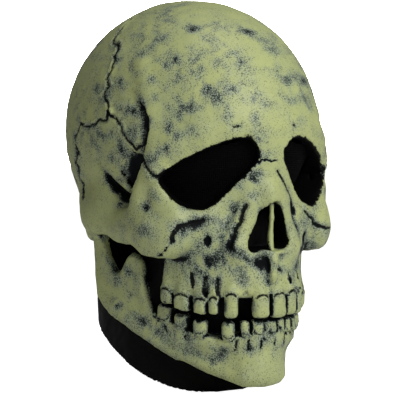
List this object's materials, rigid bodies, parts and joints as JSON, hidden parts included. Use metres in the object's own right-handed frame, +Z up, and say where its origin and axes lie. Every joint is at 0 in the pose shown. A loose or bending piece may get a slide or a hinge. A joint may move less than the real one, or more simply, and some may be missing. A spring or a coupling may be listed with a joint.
{
  "type": "full-overhead latex skull mask",
  "caption": "Full-overhead latex skull mask with open scrim-backed sockets, closed toothed jaw, slanted neck skirt and a T-slit nape with two swinging lapels.",
  "frame": {"origin": "under the middle of the mask, at the height of its lowest point, the front of the neck rim", "axes": "+Z up through the crown, -Y the way the face looks, +X to the wearer's left"},
  "size_m": [0.1698, 0.2092, 0.2787],
  "materials": {
    "latex": "satin greenish bone paint with a stippled bluish-black wash in the hollows, and a black-painted neck skirt",
    "scrim": "matt black open mesh",
    "foam": "matt charcoal open-cell foam",
    "tape": "black woven tape"
  },
  "bodies": {
    "head": {"latex_skin": "latex", "eye_mesh_left": "scrim", "eye_mesh_right": "scrim", "nose_mesh": "scrim", "forehead_pad": "foam", "crown_pad": "foam", "temple_pad_left": "foam", "temple_pad_right": "foam", "occiput_pad": "foam", "chin_pad": "foam", "slit_stay": "tape"},
    "lapel_left": {"neck_flap_left": "latex"},
    "lapel_right": {"neck_flap_right": "latex"}
  },
  "joints": [
    {"name": "neck_lapel_left", "type": "hinge", "parent": "head", "child": "lapel_left", "pos_m": [0.05329, 0.04823, 0.07215], "axis": [0, 0, -1], "range_deg": [0, 45], "stiffness_Nm_per_rad": 0.15},
    {"name": "neck_lapel_right", "type": "hinge", "parent": "head", "child": "lapel_right", "pos_m": [-0.05329, 0.04823, 0.07215], "axis": [0, 0, 1], "range_deg": [0, 45], "stiffness_Nm_per_rad": 0.15}
  ]
}
